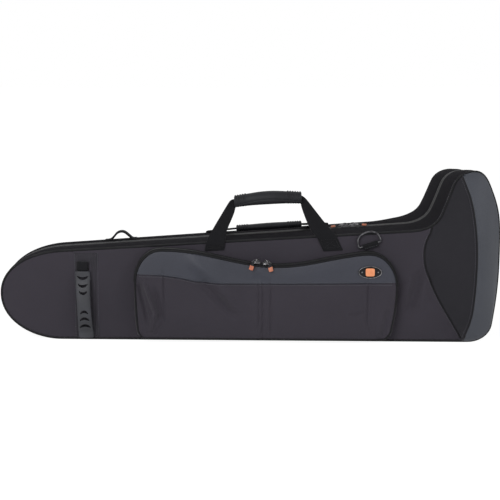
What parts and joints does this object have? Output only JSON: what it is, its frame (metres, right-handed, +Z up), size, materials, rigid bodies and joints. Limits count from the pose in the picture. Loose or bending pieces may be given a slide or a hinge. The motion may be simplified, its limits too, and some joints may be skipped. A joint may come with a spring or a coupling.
{
  "type": "trombone case",
  "caption": "Contoured soft case for a tenor trombone, with a zipped lid, a bellows pocket, carrying handles and a fitted interior.",
  "frame": {"origin": "middle of the case's length, on the floor under the zip line", "axes": "+X along the case towards the bell end, +Y from the front to the back, +Z up"},
  "size_m": [0.9424, 0.275, 0.3251],
  "materials": {
    "nylon": "woven, matt",
    "leatherette": "smooth, satin",
    "piping": "satin",
    "webbing": "woven, matt",
    "zip_tape": "woven, matt",
    "lining": "short pile",
    "foam": "cloth-covered foam",
    "moulded_rubber": "satin",
    "box_plastic": "matt",
    "nickel": "polished",
    "badge_black": "gloss",
    "copper_tip": "satin",
    "copper_inlay": "satin"
  },
  "bodies": {
    "rear": {"rear_frame": "nylon", "rear_panel": "nylon", "rear_piping": "piping", "rear_lining": "lining", "rear_lining_strip": "lining", "rear_zip_tape": "zip_tape", "rear_spine": "webbing", "rear_handle_anchor_left": "webbing", "rear_handle_anchor_right": "webbing", "top_loop": "webbing", "bell_cradle": "foam", "slide_rest_left": "foam", "slide_rest_right": "foam", "neck_rest": "foam", "slide_strap": "webbing", "accessory_box": "box_plastic"},
    "lid": {"lid_frame": "nylon", "lid_panel": "nylon", "lid_piping": "piping", "lid_lining": "lining", "lid_lining_strip": "lining", "lid_zip_tape": "zip_tape", "lid_spine": "webbing", "front_handle_anchor_left": "webbing", "front_handle_anchor_right": "webbing", "end_band": "webbing", "end_grip": "moulded_rubber", "end_grip_cap": "moulded_rubber", "d_ring_tab": "webbing", "pocket_gusset": "nylon", "pocket_zip_tape": "zip_tape", "lid_pad": "foam"},
    "pocket_front": {"pocket_front": "nylon", "pocket_band": "leatherette", "pocket_piping": "piping", "badge": "badge_black", "badge_inlay": "copper_inlay", "badge_rivet_left": "nickel", "badge_rivet_right": "nickel"},
    "front_handle": {"front_handle_webbing": "webbing", "front_handle_grip": "moulded_rubber"},
    "rear_handle": {"rear_handle_webbing": "webbing", "rear_handle_grip": "moulded_rubber"},
    "d_ring": {"d_ring": "nickel"},
    "accessory_lid": {"accessory_lid": "box_plastic"},
    "main_slider_left": {"main_slider_left": "nickel"},
    "main_pull_left": {"main_slider_left_link": "nickel", "main_slider_left_tip": "copper_tip"},
    "main_slider_right": {"main_slider_right": "nickel"},
    "main_pull_right": {"main_slider_right_link": "nickel", "main_slider_right_tip": "copper_tip"},
    "pocket_slider_left": {"pocket_slider_left": "nickel"},
    "pocket_pull_left": {"pocket_slider_left_link": "nickel", "pocket_slider_left_tip": "copper_tip"},
    "pocket_slider_right": {"pocket_slider_right": "nickel"},
    "pocket_pull_right": {"pocket_slider_right_link": "nickel", "pocket_slider_right_tip": "copper_tip"}
  },
  "joints": [
    {"name": "lid_hinge", "type": "hinge", "parent": "rear", "child": "lid", "pos_m": [0, 0, 0], "axis": [1, 0, 0], "range_deg": [0, 170]},
    {"name": "front_handle_fold", "type": "hinge", "parent": "lid", "child": "front_handle", "pos_m": [-0.061, -0.08958, 0.18954], "axis": [0.9957, -0.0696, 0.0611], "range_deg": [-15, 98]},
    {"name": "rear_handle_fold", "type": "hinge", "parent": "rear", "child": "rear_handle", "pos_m": [-0.061, 0.04901, 0.19254], "axis": [-0.9979, -0.0195, -0.0612], "range_deg": [0, 176]},
    {"name": "d_ring_swing", "type": "hinge", "parent": "lid", "child": "d_ring", "pos_m": [0.228, -0.11107, 0.186], "axis": [0.9487, -0.0663, 0.309], "range_deg": [0, 85]},
    {"name": "accessory_lid_flap", "type": "hinge", "parent": "rear", "child": "accessory_lid", "pos_m": [-0.25, -0.01415, 0.15215], "axis": [-1, 0, 0], "range_deg": [0, 80]},
    {"name": "pocket_front_open", "type": "hinge", "parent": "lid", "child": "pocket_front", "pos_m": [0, -0.11099, 0.006], "axis": [0.9976, -0.0697, 0], "range_deg": [0, 20]},
    {"name": "main_slider_left_run", "type": "slide", "parent": "rear", "child": "main_slider_left", "axis": [0.9981, 0, 0.0612], "range_m": [-0.5, 0]},
    {"name": "main_pull_left_swing", "type": "hinge", "parent": "main_slider_left", "child": "main_pull_left", "pos_m": [0.19216, 0, 0.21064], "axis": [-0.0696, 0.9976, -0.0043], "range_deg": [0, 95]},
    {"name": "main_slider_right_run", "type": "slide", "parent": "rear", "child": "main_slider_right", "axis": [0.9981, 0, 0.0612], "range_m": [0, 0.075]},
    {"name": "main_pull_right_swing", "type": "hinge", "parent": "main_slider_right", "child": "main_pull_right", "pos_m": [0.20776, 0, 0.21159], "axis": [-0.3084, -0.9511, -0.0189], "range_deg": [0, 95]},
    {"name": "pocket_slider_left_run", "type": "slide", "parent": "pocket_front", "child": "pocket_slider_left", "axis": [0.9787, -0.0684, -0.1938], "range_m": [-0.1, 0]},
    {"name": "pocket_pull_left_swing", "type": "hinge", "parent": "pocket_slider_left", "child": "pocket_pull_left", "pos_m": [0.01644, -0.10993, 0.15751], "axis": [-0.7889, 0.5393, 0.2948], "range_deg": [0, 100]},
    {"name": "pocket_slider_right_run", "type": "slide", "parent": "pocket_front", "child": "pocket_slider_right", "axis": [0.9944, -0.0695, 0.08], "range_m": [0, 0.085]},
    {"name": "pocket_pull_right_swing", "type": "hinge", "parent": "pocket_slider_right", "child": "pocket_pull_right", "pos_m": [0.03297, -0.11109, 0.15583], "axis": [-0.8845, -0.4223, -0.1983], "range_deg": [0, 100]}
  ]
}
